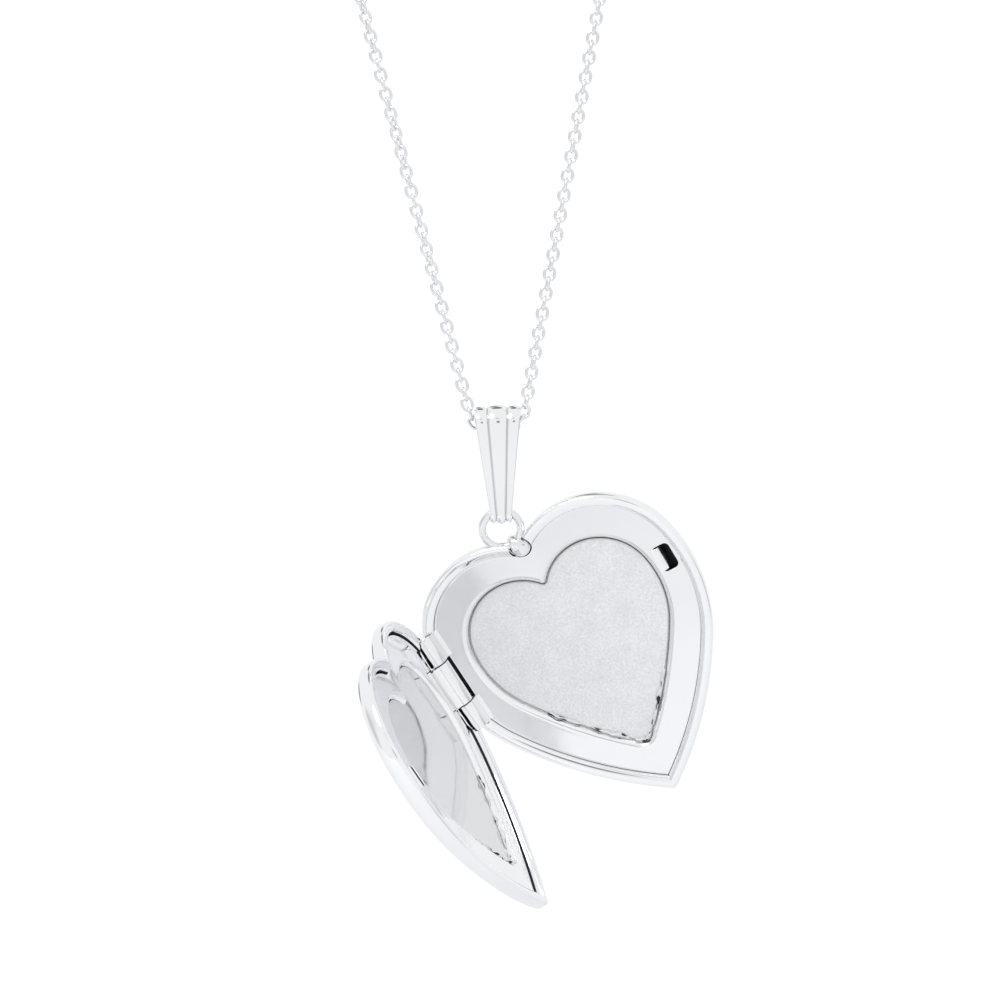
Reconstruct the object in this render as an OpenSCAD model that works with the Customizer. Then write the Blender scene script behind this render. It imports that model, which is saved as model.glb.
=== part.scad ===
// Heart locket with a fluted bail on a link chain, hanging open.
// Millimetres, +Z up, face toward -Y. The origin is where the chain is held.

/* [Heart] */
// Radius of each round lobe of the heart outline
lobe_r = 6.5; // [5:0.1:8]
// Distance of each lobe's centre from the middle line
lobe_x = 3.8; // [3:0.1:5]
// Height of the lobe centres above the heart's own zero
lobe_z = 5.7; // [4:0.1:7]
// Radius of the upper side arc
side_r = 12; // [9:0.5:16]
// Radius of the long lower side arc
flank_r = 30; // [20:1:60]
// Depth of one closed half, from parting plane to crown
half_depth = 2.2; // [1.6:0.1:3]
// Thickness of the stamped sheet
sheet_t = 0.3; // [0.2:0.05:0.5]

/* [Inner plate] */
// Inset of the plate's edge from the outline
plate_inset = 0.86; // [0.6:0.02:1.2]
// Depth of the plate's face below the parting plane
plate_sink = 0.5; // [0.3:0.05:0.8]
// Radius of the picture well's lobes
well_lobe_r = 4.2; // [3.8:0.1:5]
// Depth of the picture well below the plate's face
well_depth = 0.6; // [0.4:0.05:0.8]
// Thickness of the picture card
card_t = 0.25; // [0.1:0.05:0.4]

/* [Hinge] */
// Radius of the hinge knuckles
knuckle_r = 0.7; // [0.5:0.05:0.9]
// Radius of the hinge pin
pin_r = 0.3; // [0.2:0.01:0.4]
// Distance of the hinge line from the middle line
hinge_x = 9.6; // [9:0.1:10.3]
// Whole length of the hinge
hinge_len = 7.8; // [6:0.1:8.2]
// Angle at which the front half stands open
door_open = 90; // [0:1:150]

/* [Bail] */
// Width of the bail at its fold
bail_top_w = 3.3; // [2.5:0.1:5]
// Width of the bail at the ring
bail_bottom_w = 1.56; // [1:0.02:2.5]
// Inner radius of the fold that the chain runs through
bail_top_r = 1.0; // [0.8:0.05:1.5]
// Inner radius of the bend that holds the ring
bail_bottom_r = 0.42; // [0.35:0.01:0.6]
// Thickness of the bail strap
bail_t = 0.22; // [0.15:0.01:0.4]
// Distance between the bail's two bends
bail_len = 6.5; // [5:0.1:9]

/* [Chain and clasp] */
// Outer width of the chain
chain_d = 0.96; // [0.8:0.02:1.4]
// Radius of the round spring clasp to the middle of its tube
clasp_r = 2.2; // [1.8:0.1:3]
// Thickness of the clasp's tube
clasp_tube_r = 0.5; // [0.4:0.05:0.7]
// Height of the held ends above the bail's fold
hang_height = 36; // [34:0.5:45]

/* [Hanging pose] */
// Lean of the heart's axis from straight down
lean = 28; // [0:1:60]
// Forward tilt of the face
tilt = 19; // [0:0.1:25]
// Turn of the face to the left
turn = 7; // [-10:0.5:10]

/* [Hidden] */
$fn = 48;
gap = 0.1;                                  // running clearance round a knuckle
play = 0.03;                                // radial play of the pin in its bore
side_a = 11;                                // angle where the lobe meets the side arc
flank_a = -33;                              // angle where the side meets the flank arc
arc_steps = [11, 7, 7];                     // points on lobe, side and flank
heart_mid = 1.5;                            // height that the dome shrinks toward
rim_gap = 0.03;                             // rim below the parting plane
wall_inset = 1.05;                          // inner wall of the dome from the outline
dome_inset = 0.7;                           // where the rim ends and the dome begins
rim_rings = [[0.22, 1, rim_gap], [0.06, 1, 0.14], [0, 1, 0.34], [0, 1, 0.8], [0.1, 1, 1.0],
    [0.3, 1, 1.2], [dome_inset, 1, 1.45]];  // inset, scale and depth, face to back
crown = [[0.86, 0.43], [0.68, 0.22], [0.45, 0.07], [0.2, 0]]; // scale, drop from the top
hinge_mid = 4.6;                            // height of the hinge's middle
knuckle_gap = 0.06;                         // end gap between two knuckles
upper_len = 2.2;                            // knuckles on the back half
lower_len = 2.1;
leaf_x = 0.35;                              // leaf's start beside the hinge line
leaf_size = [0.85, 0.22];                   // width and thickness under the plate
riser_size = [0.2, 0.7];                    // web from the leaf up to the barrel
riser_y = 0.3;
pin_short = 0.02;                           // pin's end inside the last knuckle
middle_len = hinge_len - upper_len - lower_len - 2 * knuckle_gap;
hinge_top = hinge_mid + hinge_len / 2;
hinge_low = hinge_mid - hinge_len / 2;
seat_x = -hinge_x + 0.05;                   // flat where the shell ends at the hinge
seat_in = -hinge_x + 0.35;                  // inner face of that flat wall
plate_edge_x = -hinge_x + 0.55;             // straight edge of the plate at the hinge
well_lobe = [3.3, 4.9];                     // centre of the well's right lobe
well_side_grow = 3.1;                       // side and flank radii beyond the lobe's
well_flank_grow = 30;
tray_wall = 0.25;                           // sheet round and under the well
tray_floor = 0.15;
card_inset = 0.25;                          // card edge inside the well's edge
film_t = 0.1;                               // clear cover over the card
slot_pos = [8.6, 4.85];                     // catch slot, x and z on the plate
slot_size = [1.3, 2.0];
lip_size = [0.18, 0.75, 1.7];               // bent lip at the slot's inner side
slot_a = 2;                                 // slot follows the side of the heart
tongue_size = [0.3, 0.4, 1.9];              // catch tongue on the door's plate
ring_r = 1.36;                              // hanging ring, to the middle of its wire
ring_wire_r = 0.285;
solder_gap = 0.02;                          // seat cut for the ring in the shell
ring_local = [-0.35, 12.55];                // ring centre on the heart, x and z
stem_pos = [0.1, 10.75];                    // solder stem in the cleft, x and z
stem_r = 0.74;
stem_fit = 0.08;                            // clearance of the cleft's notch
stem_depth = 1.1;
stem_dome_y = 0.45;                         // depth where the stem's dome begins
stem_dome_h = 0.35;
ring_back = 0.5;                            // ring plane behind the parting plane
bail_z = -hang_height;
bail_foot_z = bail_z - bail_len;
bail_taper_z = 0.6;                         // the strap narrows below this
flute_depth = 0.08;
flute_span = [0.42, 0.52];                  // flute, as fractions of the half width
ring_drop = 1.04;                           // ring centre below the bail's lower bend
ring_y = 0.37;
ring_centre = [0, ring_y, bail_foot_z - ring_drop];

// Chain route from the bail outward, x and height above the bail's fold
chain_route = [[0, -0.45], [0.4, -0.45], [0.8, -0.42], [1.2, -0.28], [1.55, 0],
    [1.8, 0.4], [1.97, 0.9], [2.12, 1.5], [2.56, 3.5], [3, 5.5], [3.45, 7.5],
    [3.89, 9.5], [4.34, 11.5], [4.78, 13.5], [5.23, 15.5], [5.67, 17.5],
    [6.12, 19.5], [6.56, 21.5], [7.01, 23.5], [7.45, 25.5], [7.9, 27.5],
    [8.34, 29.5], [8.85, 31.8]];
chain_end = chain_route[len(chain_route) - 1];
strand_a = atan2(0.445, 2);                 // lean of each strand from upright
jump_ring_r = 0.95;                         // ring between the left strand and the clasp
jump_ring_wire = 0.2;
catch_ring_r = 1.52;                        // ring on the right strand, for the clasp
catch_ring_wire = 0.26;
bore_r = 0.34;                              // bore of the clasp's tube
trigger_r = 0.28;
mouth_a = 62;                               // arc of the clasp's mouth
knob_a = 70;                                // thumb knob on the trigger
tail_a = 110;                               // inner end of the trigger
trigger_travel = 52;
knob_r = 0.19;
clasp_eye_r = 0.35;                         // eye that holds the jump ring
clasp_eye_wire = 0.14;
clasp_rise = 2 * jump_ring_r + clasp_r + clasp_tube_r - 0.2; // clasp centre past the strand

silver = [0.86, 0.86, 0.88];
card_grey = [0.8, 0.8, 0.82];
film_clear = [0.9, 0.92, 0.95, 0.35];

// ---- heart outline ----
function arc(c, r, a0, a1, n) =
    [for (i = [0 : n - 1]) let (a = a0 + (a1 - a0) * i / n) c + r * [cos(a), sin(a)]];
function step_centre(c, r_from, r_to, a) = c - (r_to - r_from) * [cos(a), sin(a)];

// A heart's form: lobe centre, then the radii of lobe, side and flank
case_form = [[lobe_x, lobe_z], lobe_r, side_r, flank_r];
well_form = [well_lobe, well_lobe_r, well_lobe_r + well_side_grow,
    well_lobe_r + well_flank_grow];

// Right half from cleft to tip, inset by d
function half_heart(form, d) =
    let (c1 = form[0],
         c2 = step_centre(c1, form[1], form[2], side_a),
         c3 = step_centre(c2, form[2], form[3], flank_a),
         cleft_a = 180 - acos(c1[0] / (form[1] - d)),
         tip_a = -acos(-c3[0] / (form[3] - d)))
    concat(arc(c1, form[1] - d, cleft_a, side_a, arc_steps[0]),
           arc(c2, form[2] - d, side_a, flank_a, arc_steps[1]),
           arc(c3, form[3] - d, flank_a, tip_a, arc_steps[2]),
           [[0, c3[1] + (form[3] - d) * sin(tip_a)]]);

function heart(d = 0, s = 1, form = case_form) =
    let (h = half_heart(form, d), n = len(h))
    [for (i = [0 : 2 * n - 3])
        let (p = i < n ? h[i] : [-h[2 * n - 2 - i][0], h[2 * n - 2 - i][1]])
        [p[0] * s, heart_mid + (p[1] - heart_mid) * s]];

// Flat heart between two depths behind the parting plane
module heart_slab(points, depth0, depth1)
    translate([0, depth1, 0]) rotate([90, 0, 0]) linear_extrude(depth1 - depth0) polygon(points);

// Solid through a stack of [inset, scale, depth] outlines
module heart_stack(levels) {
    loops = [for (l = levels) [for (p = heart(l[0], l[1])) [p[0], l[2], p[1]]]];
    n = len(loops[0]);
    m = len(loops);
    polyhedron(
        points = [for (l = loops) each l],
        faces = concat(
            [[for (i = [0 : n - 1]) i]],
            [for (k = [0 : m - 2], i = [0 : n - 1])
                [k * n + i, (k + 1) * n + (i + 1) % n, k * n + (i + 1) % n]],
            [for (k = [0 : m - 2], i = [0 : n - 1])
                [k * n + i, (k + 1) * n + i, (k + 1) * n + (i + 1) % n]],
            [[for (i = [0 : n - 1]) (m - 1) * n + n - 1 - i]]));
}

// ---- placing ----
module hang_heart()
    translate(ring_centre) rotate([0, 0, -turn]) rotate([tilt, 0, 0]) rotate([0, -lean, 0])
        translate([-ring_local[0], -ring_back, -ring_local[1]]) children();

// The front half is built like the back one, then mirrored and swung open
module hang_front()
    hang_heart() translate([-hinge_x, 0, 0]) rotate([0, 0, -door_open])
        translate([hinge_x, 0, 0]) mirror([0, 1, 0]) children();

// Everything of a half that lies right of the plane x = x0
module right_of(x0) intersection() {
    children();
    translate([x0, -5, -20]) cube([40, 10, 40]);
}

module along_hinge(z0, length, r)
    translate([-hinge_x, 0, z0]) cylinder(r = r, h = length);

// ---- one half of the case ----
module case_half(notched) color(silver) difference() {
    right_of(seat_x) heart_stack(concat(rim_rings,
        [for (c = crown) [dome_inset, c[0], half_depth - c[1]]]));
    right_of(seat_in) heart_stack(concat(
        [[0.42, 1, rim_gap - 0.04], [plate_inset, 1, plate_sink], [plate_inset, 1, 1.0],
            [wall_inset, 1, 1.22]],
        [for (c = crown) [wall_inset, c[0], half_depth - c[1] - sheet_t]]));
    along_hinge(hinge_low - gap, hinge_len + 2 * gap, knuckle_r + gap);
    if (notched) cleft_notch();
}

module cleft_notch()
    translate([stem_pos[0], stem_depth, stem_pos[1]]) rotate([90, 0, 0])
        cylinder(r = stem_r + stem_fit, h = 3);

module catch_slot()
    translate([slot_pos[0], 0.8, slot_pos[1]]) rotate([0, slot_a, 0])
        cube([slot_size[0], 2, slot_size[1]], center = true);

// Flat plate with its picture well; slotted for the catch on the back half
module picture_plate(notched, slotted) color(silver) difference() {
    floor_top = plate_sink + well_depth;
    well = heart(0, 1, well_form);
    well_out = heart(-tray_wall, 1, well_form);
    right_of(plate_edge_x) union() {
        difference() {
            heart_slab(heart(plate_inset), plate_sink, plate_sink + sheet_t);
            heart_slab(well, 0, 3);
        }
        difference() {
            heart_slab(well_out, plate_sink + sheet_t, floor_top + tray_floor);
            heart_slab(well, 0, floor_top);
        }
    }
    if (notched) cleft_notch();
    if (slotted) catch_slot();
}

module picture_card() color(card_grey) {
    floor_top = plate_sink + well_depth;
    heart_slab(heart(card_inset, 1, well_form), floor_top - card_t, floor_top);
}

module clear_film() color(film_clear) {
    card_top = plate_sink + well_depth - card_t;
    heart_slab(heart(card_inset, 1, well_form), card_top - film_t, card_top);
}

// Hinge knuckle with the leaf that is soldered under the plate
module knuckle(z0, length) color(silver) difference() {
    union() {
        along_hinge(z0, length, knuckle_r);
        translate([-hinge_x + leaf_x, riser_y, z0]) cube([each riser_size, length]);
        translate([-hinge_x + leaf_x, plate_sink + sheet_t, z0])
            cube([each leaf_size, length]);
    }
    along_hinge(z0 - 1, length + 2, pin_r + play);
}

// ---- back half ----
module back_shell() color(silver) difference() {
    hang_heart() case_half(true);
    ring_torus(ring_wire_r + solder_gap);
}
module back_plate() hang_heart() picture_plate(true, true);
module back_card() hang_heart() picture_card();
module back_film() hang_heart() clear_film();
module upper_knuckle() hang_heart() knuckle(hinge_top - upper_len, upper_len);
module lower_knuckle() hang_heart() knuckle(hinge_low, lower_len);

module hinge_pin() color(silver) hang_heart()
    along_hinge(hinge_low + pin_short, hinge_len - 2 * pin_short, pin_r);

module catch_lip() color(silver) hang_heart()
    translate([slot_pos[0], 0, slot_pos[1]]) rotate([0, slot_a, 0])
        translate([-slot_size[0] / 2, plate_sink, -lip_size[2] / 2]) cube(lip_size);

module ring_torus(wire_r) translate(ring_centre) rotate([90 + tilt, 0, 0])
    rotate_extrude() translate([ring_r, 0]) circle(r = wire_r, $fn = 24);

module hanging_ring() color(silver) ring_torus(ring_wire_r);

// Solder stem with a domed front
module ring_stem() color(silver) hang_heart()
    translate([stem_pos[0], stem_depth, stem_pos[1]]) rotate([90, 0, 0]) {
        cylinder(r = stem_r, h = stem_depth - stem_dome_y);
        translate([0, 0, stem_depth - stem_dome_y]) intersection() {
            sphere(r = stem_r);
            cylinder(r = 2 * stem_r, h = stem_dome_h);
        }
    }

// ---- front half ----
module front_shell() hang_front() case_half(false);
module front_plate() hang_front() picture_plate(false, false);
module front_card() hang_front() picture_card();
module front_film() hang_front() clear_film();
module door_knuckle() hang_front()
    knuckle(hinge_low + lower_len + knuckle_gap, middle_len);

module catch_tongue() color(silver) hang_front()
    translate([slot_pos[0], plate_sink - tongue_size[1] / 2, slot_pos[1]]) rotate([0, slot_a, 0])
        cube(tongue_size, center = true);

// ---- bail ----
// Two circles with their outer tangents, the second one below
module drop_shape(r1, r2, length) hull() {
    circle(r = r1);
    translate([0, -length]) circle(r = r2);
}

module along_x(width) rotate([90, 0, 90]) linear_extrude(width, center = true) children();

// The strap's closed loop, thickness t outward of the chain and ring
module bail_loop(t) along_x(bail_top_w + 1) difference() {
    drop_shape(bail_top_r + t, bail_bottom_r + t, bail_len);
    drop_shape(bail_top_r, bail_bottom_r, bail_len);
}

// A wedge narrowing from fold to foot, between two fractions of the half width
module bail_wedge(from, to) rotate([90, 0, 0]) linear_extrude(3 * bail_top_r, center = true)
    polygon([for (p = [[from, 2], [to, 2], [to, bail_taper_z], [to, -bail_len],
            [to, -bail_len - 2], [from, -bail_len - 2], [from, -bail_len],
            [from, bail_taper_z]])
        [p[0] * (p[1] > 0 ? bail_top_w : bail_bottom_w) / 2, p[1]]]);

module bail_strap() color(silver) translate([0, 0, bail_z]) difference() {
    intersection() {
        bail_loop(bail_t);
        bail_wedge(-1, 1);
    }
    for (side = [-1, 1]) intersection() {
        difference() {
            bail_loop(bail_t + 1);
            bail_loop(bail_t - flute_depth);
        }
        bail_wedge(side * flute_span[0], side * flute_span[1]);
    }
}

// ---- chain and clasp ----
function route_dir(i) =
    let (a = chain_route[max(i - 1, 0)], b = chain_route[min(i + 1, len(chain_route) - 1)],
         v = i == 0 ? [1, 0] : b - a)
    v / norm(v);

// Eight-sided tube along the route; side is 1 to the right and -1 to the left
module strand(side) color(silver) {
    sides = 8;
    n = len(chain_route);
    r = chain_d / 2;
    pts = [for (i = [0 : n - 1]) let (t = route_dir(i)) for (k = [0 : sides - 1])
        let (a = 360 * k / sides,
             u = r * cos(a),
             x = chain_route[i][0] - t[1] * u,
             z = chain_route[i][1] + t[0] * u)
        [side * x, side * r * sin(a), z + bail_z]];
    polyhedron(points = pts, faces = concat(
        [[for (k = [0 : sides - 1]) k]],
        [for (i = [0 : n - 2], k = [0 : sides - 1])
            [i * sides + k, (i + 1) * sides + k,
             (i + 1) * sides + (k + 1) % sides, i * sides + (k + 1) % sides]],
        [[for (k = [0 : sides - 1]) (n - 1) * sides + sides - 1 - k]]));
}

module wire_ring(r, wire) rotate([90, 0, 0])
    rotate_extrude() translate([r, 0]) circle(r = wire, $fn = 24);

// Places children past a strand's end, at a distance along its line
module past_end(side, distance)
    translate([side * (chain_end[0] + distance * sin(strand_a)), 0,
        bail_z + chain_end[1] + distance * cos(strand_a)])
        rotate([0, side * strand_a, 0]) children();

module chain_left() strand(-1);
module chain_right() strand(1);
module chain_end_ring() color(silver) past_end(1, catch_ring_r)
    wire_ring(catch_ring_r, catch_ring_wire);
module clasp_jump_ring() color(silver) past_end(-1, jump_ring_r)
    wire_ring(jump_ring_r, jump_ring_wire);

module clasp_place() past_end(-1, clasp_rise) children();

// Turns children to an angle on the clasp's round tube
module on_clasp(angle) clasp_place() rotate([90, 0, 0]) rotate(angle) children();

module clasp_arc(from, to, r_out, r_in) on_clasp(from)
    rotate_extrude(angle = to - from) translate([clasp_r, 0]) difference() {
        circle(r = r_out, $fn = 24);
        circle(r = r_in, $fn = 24);
    }

// Hollow round tube with a mouth; the slit lets the thumb knob travel
module clasp_body() color(silver) {
    difference() {
        clasp_arc(mouth_a, 360, clasp_tube_r, bore_r);
        on_clasp(mouth_a - 1) rotate_extrude(angle = knob_a - mouth_a + trigger_travel + 14)
            translate([clasp_r + bore_r / 2, -0.25]) square([1, 0.5]);
    }
    clasp_place() translate([0, 0, -clasp_r - clasp_tube_r]) wire_ring(clasp_eye_r, clasp_eye_wire);
}

// Sprung wire that closes the mouth and draws back into the tube
module clasp_trigger() color(silver) on_clasp(2)
    rotate_extrude(angle = tail_a - 2) translate([clasp_r, 0]) circle(r = trigger_r, $fn = 24);

module clasp_thumb_knob() color(silver) on_clasp(knob_a)
    translate([clasp_r + trigger_r * 0.8, 0, 0]) rotate([0, 90, 0])
        cylinder(r = knob_r, h = 0.8);

chain_left();
chain_right();
clasp_body();
clasp_trigger();
clasp_thumb_knob();
clasp_jump_ring();
chain_end_ring();
bail_strap();
hanging_ring();
ring_stem();
back_shell();
back_plate();
back_card();
back_film();
upper_knuckle();
lower_knuckle();
hinge_pin();
catch_lip();
front_shell();
front_plate();
front_card();
front_film();
door_knuckle();
catch_tongue();
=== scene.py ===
"""Heart locket hanging open on its chain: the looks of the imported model, in metres."""

import math

import bmesh
import bpy
from mathutils import Matrix, Vector, noise


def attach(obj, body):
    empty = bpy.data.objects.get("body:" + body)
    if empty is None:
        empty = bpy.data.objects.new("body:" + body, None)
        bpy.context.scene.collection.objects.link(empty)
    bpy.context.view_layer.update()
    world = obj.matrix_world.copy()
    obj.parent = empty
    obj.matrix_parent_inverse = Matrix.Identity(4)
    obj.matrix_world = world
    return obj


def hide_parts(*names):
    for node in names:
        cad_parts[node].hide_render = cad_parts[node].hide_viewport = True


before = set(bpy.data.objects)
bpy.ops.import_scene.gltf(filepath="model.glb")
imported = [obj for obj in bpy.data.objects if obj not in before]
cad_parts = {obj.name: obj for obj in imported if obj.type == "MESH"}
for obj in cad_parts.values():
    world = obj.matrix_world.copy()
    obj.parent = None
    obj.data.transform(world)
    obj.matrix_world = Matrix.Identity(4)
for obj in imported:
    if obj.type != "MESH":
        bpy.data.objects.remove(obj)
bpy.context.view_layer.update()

MM = 0.001

# ---------------------------------------------------------------- sizes, in mm
LEAN, TILT, TURN = 28, 19, 7  # hanging pose of the heart, in degrees
DOOR_OPEN = 90
BAIL_Z = -36
BAIL_LEN = 6.5
RING_CENTRE = Vector((0, 0.37, BAIL_Z - BAIL_LEN - 1.04))
RING_ON_HEART = Vector((-0.35, 0.5, 12.55))
RING_R, RING_WIRE = 1.36, 0.285
HINGE_X = 9.6
HINGE_LOW, HINGE_LEN = 0.7, 7.8
KNUCKLE_R, PIN_R, PIN_PLAY, KNUCKLE_GAP = 0.7, 0.3, 0.03, 0.06
UPPER_LEN, LOWER_LEN = 2.2, 2.1
SEAT_X = -HINGE_X + 0.05  # flat where a shell ends at the hinge
PLATE_EDGE_X = -HINGE_X + 0.55
KNUCKLE_CLEAR_X = -HINGE_X + 0.84  # edge of the plate's gap beside the other half's knuckle
STEM_POS = (0.1, 10.75)
STEM_R = 0.74
STEM_DEPTH = 1.1
SLOT_POS, SLOT_ANGLE = (8.6, 4.85), 2
SLOT_SIZE = (1.3, 2.0)
SHEET = 0.3
WELL_FLOOR = 1.1
CARD_T = 0.25
FILM_BASE = WELL_FLOOR - CARD_T - 0.05
CHAIN_D, LINK_WIRE, LINK_LENGTH = 0.96, 0.235, 1.14
CHAIN_ROUTE = [
    (0, -0.45), (0.4, -0.45), (0.8, -0.42), (1.2, -0.28), (1.55, 0), (1.8, 0.4),
    (1.97, 0.9), (2.12, 1.5), (2.56, 3.5), (3, 5.5), (3.45, 7.5), (3.89, 9.5),
    (4.34, 11.5), (4.78, 13.5), (5.23, 15.5), (5.67, 17.5), (6.12, 19.5),
    (6.56, 21.5), (7.01, 23.5), (7.45, 25.5), (7.9, 27.5), (8.34, 29.5), (8.85, 31.8),
]

# A heart's form: lobe centre, then the radii of lobe, side and flank
CASE_FORM = ((3.8, 5.7), 6.5, 12, 30)
WELL_FORM = ((3.25, 4.9), 4.15, 7.25, 34.2)
WELL_TIP_R = 0.85
SIDE_ANGLE, FLANK_ANGLE = math.radians(11), math.radians(-33)
HEART_MID = 1.5


def turn(degrees, axis):
    return Matrix.Rotation(math.radians(degrees), 4, axis)


# The heart's own axes: x to its right, y away from its face, z up its middle line
HANG_BACK = (
    Matrix.Translation(RING_CENTRE)
    @ turn(-TURN, "Z") @ turn(TILT, "X") @ turn(-LEAN, "Y")
    @ Matrix.Translation((-RING_ON_HEART.x, -RING_ON_HEART.y, -RING_ON_HEART.z))
)
DOOR_SWING = (
    Matrix.Translation((-HINGE_X, 0, 0))
    @ turn(-DOOR_OPEN, "Z")
    @ Matrix.Translation((HINGE_X, 0, 0))
)
HANG_FRONT = HANG_BACK @ DOOR_SWING @ Matrix.Diagonal((1, -1, 1, 1))


# ---------------------------------------------------------------- materials
def new_material(name, base, metallic, roughness):
    """A material with its nodes, links and Principled shader."""
    material = bpy.data.materials.new(name)
    material.use_nodes = True
    nodes = material.node_tree.nodes
    shader = nodes["Principled BSDF"]
    shader.inputs["Base Color"].default_value = (*base, 1)
    shader.inputs["Metallic"].default_value = metallic
    shader.inputs["Roughness"].default_value = roughness
    return material, nodes, material.node_tree.links, shader


def add_noise(nodes, links, scale, detail):
    """Noise over the object's own coordinates."""
    coords = nodes.new("ShaderNodeTexCoord")
    pattern = nodes.new("ShaderNodeTexNoise")
    pattern.inputs["Scale"].default_value = scale
    pattern.inputs["Detail"].default_value = detail
    links.new(coords.outputs["Object"], pattern.inputs["Vector"])
    return pattern


def add_range(nodes, links, source, low, high):
    """Maps a noise's usual 0.3 to 0.7 onto low to high."""
    ranged = nodes.new("ShaderNodeMapRange")
    ranged.inputs["From Min"].default_value = 0.3
    ranged.inputs["From Max"].default_value = 0.7
    ranged.inputs["To Min"].default_value = low
    ranged.inputs["To Max"].default_value = high
    links.new(source, ranged.inputs["Value"])
    return ranged.outputs["Result"]


def add_bump(nodes, links, shader, height, strength, distance, below=None):
    """A bump on the shader's normal, over another one if given."""
    bump = nodes.new("ShaderNodeBump")
    bump.inputs["Strength"].default_value = strength
    bump.inputs["Distance"].default_value = distance
    links.new(height, bump.inputs["Height"])
    if below is not None:
        links.new(below.outputs["Normal"], bump.inputs["Normal"])
    links.new(bump.outputs["Normal"], shader.inputs["Normal"])
    return bump


def polished_silver(name, base, low, high, wave):
    """Polished silver: faint buffing haze in its roughness and a slow wave in its sheet."""
    material, nodes, links, shader = new_material(name, base, 1.0, low)
    haze = add_noise(nodes, links, 900, 5)
    links.new(add_range(nodes, links, haze.outputs["Fac"], low, high), shader.inputs["Roughness"])
    tarnish = add_noise(nodes, links, 140, 3)
    ramp = nodes.new("ShaderNodeValToRGB")
    ramp.color_ramp.elements[0].position = 0.35
    ramp.color_ramp.elements[0].color = (*[c * 0.965 for c in base], 1)
    ramp.color_ramp.elements[1].position = 0.6
    ramp.color_ramp.elements[1].color = (*base, 1)
    links.new(tarnish.outputs["Fac"], ramp.inputs["Fac"])
    links.new(ramp.outputs["Color"], shader.inputs["Base Color"])
    slow = add_noise(nodes, links, 120, 1)
    swell = add_bump(nodes, links, shader, slow.outputs["Fac"], wave, 0.0002)
    fine = add_noise(nodes, links, 4200, 3)
    add_bump(nodes, links, shader, fine.outputs["Fac"], 0.03, 0.00001, swell)
    return material


def shade_across(material, near, far, dark):
    """Paints shade into a material's base colour: darkest toward near, none at far."""
    nodes, links = material.node_tree.nodes, material.node_tree.links
    shader = nodes["Principled BSDF"]
    colour = shader.inputs["Base Color"].links[0].from_socket
    coords = nodes.new("ShaderNodeTexCoord")
    along = nodes.new("ShaderNodeVectorMath")
    along.operation = "DOT_PRODUCT"
    way = Vector(far) - Vector(near)
    along.inputs[1].default_value = way / way.length_squared
    links.new(coords.outputs["Object"], along.inputs[0])
    fade = nodes.new("ShaderNodeMapRange")
    start = Vector(near).dot(way) / way.length_squared
    fade.inputs["From Min"].default_value = start
    fade.inputs["From Max"].default_value = start + 1
    fade.inputs["To Min"].default_value = dark
    fade.inputs["To Max"].default_value = 1.0
    links.new(along.outputs["Value"], fade.inputs["Value"])
    scaled = nodes.new("ShaderNodeVectorMath")
    scaled.operation = "SCALE"
    links.new(colour, scaled.inputs[0])
    links.new(fade.outputs["Result"], scaled.inputs["Scale"])
    links.new(scaled.outputs["Vector"], shader.inputs["Base Color"])


def card_paper():
    """Grey picture card: matte, with a fine speckle and a slight mottle."""
    material, nodes, links, shader = new_material("card_paper", (0.9, 0.905, 0.92), 0.0, 0.85)
    speckle = add_noise(nodes, links, 8500, 3)
    mottle = add_noise(nodes, links, 700, 4)
    mix = nodes.new("ShaderNodeMix")
    mix.data_type = "FLOAT"
    mix.inputs["Factor"].default_value = 0.2
    links.new(speckle.outputs["Fac"], mix.inputs["A"])
    links.new(mottle.outputs["Fac"], mix.inputs["B"])
    ramp = nodes.new("ShaderNodeValToRGB")
    ramp.color_ramp.elements[0].position = 0.38
    ramp.color_ramp.elements[0].color = (0.72, 0.73, 0.765, 1)
    ramp.color_ramp.elements[1].position = 0.62
    ramp.color_ramp.elements[1].color = (1.0, 1.0, 1.0, 1)
    links.new(mix.outputs["Result"], ramp.inputs["Fac"])
    links.new(ramp.outputs["Color"], shader.inputs["Base Color"])
    shader.inputs["Specular IOR Level"].default_value = 0.25
    add_bump(nodes, links, shader, speckle.outputs["Fac"], 0.25, 0.00003)
    return material


def clear_plastic(name, alpha, glare=0.0):
    """Thin clear film with a slight ripple; glare gives it part of a metal's shine."""
    material, nodes, links, shader = new_material(name, (0.95, 0.955, 0.97), glare, 0.05)
    shader.inputs["Alpha"].default_value = alpha
    shader.inputs["IOR"].default_value = 1.5
    ripple = add_noise(nodes, links, 500, 2)
    gloss = add_range(nodes, links, ripple.outputs["Fac"], 0.02, 0.07)
    links.new(gloss, shader.inputs["Roughness"])
    add_bump(nodes, links, shader, ripple.outputs["Fac"], 0.15, 0.00003)
    return material


def floor_paper():
    """Pale matte paper."""
    material, nodes, links, shader = new_material("floor_paper", (0.88, 0.885, 0.895), 0.0, 0.8)
    grain = add_noise(nodes, links, 60, 3)
    links.new(add_range(nodes, links, grain.outputs["Fac"], 0.72, 0.88), shader.inputs["Roughness"])
    return material


SILVER = (0.94, 0.945, 0.965)
WIRE_SILVER = (0.86, 0.865, 0.885)
silver_case = polished_silver("silver_case", SILVER, 0.03, 0.06, 0.07)
silver_plate = polished_silver("silver_plate", (0.96, 0.965, 0.98), 0.13, 0.2, 0.16)
silver_door = polished_silver("silver_door", (0.96, 0.965, 0.98), 0.07, 0.13, 0.16)
# Painted shade: darker, rougher silver for the bottoms of the bail's flutes
groove_shade_silver = polished_silver("groove_shade_silver", (0.74, 0.745, 0.765), 0.12, 0.2, 0.05)
# Painted shade: the back plate's base colour darkens toward its top, down to 0.82 of itself
shade_across(silver_plate, (0.0, 0, -0.038), (0.004, 0, -0.058), 0.82)
silver_bail = polished_silver("silver_bail", SILVER, 0.03, 0.06, 0.06)
silver_wire = polished_silver("silver_wire", WIRE_SILVER, 0.05, 0.10, 0.05)
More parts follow.
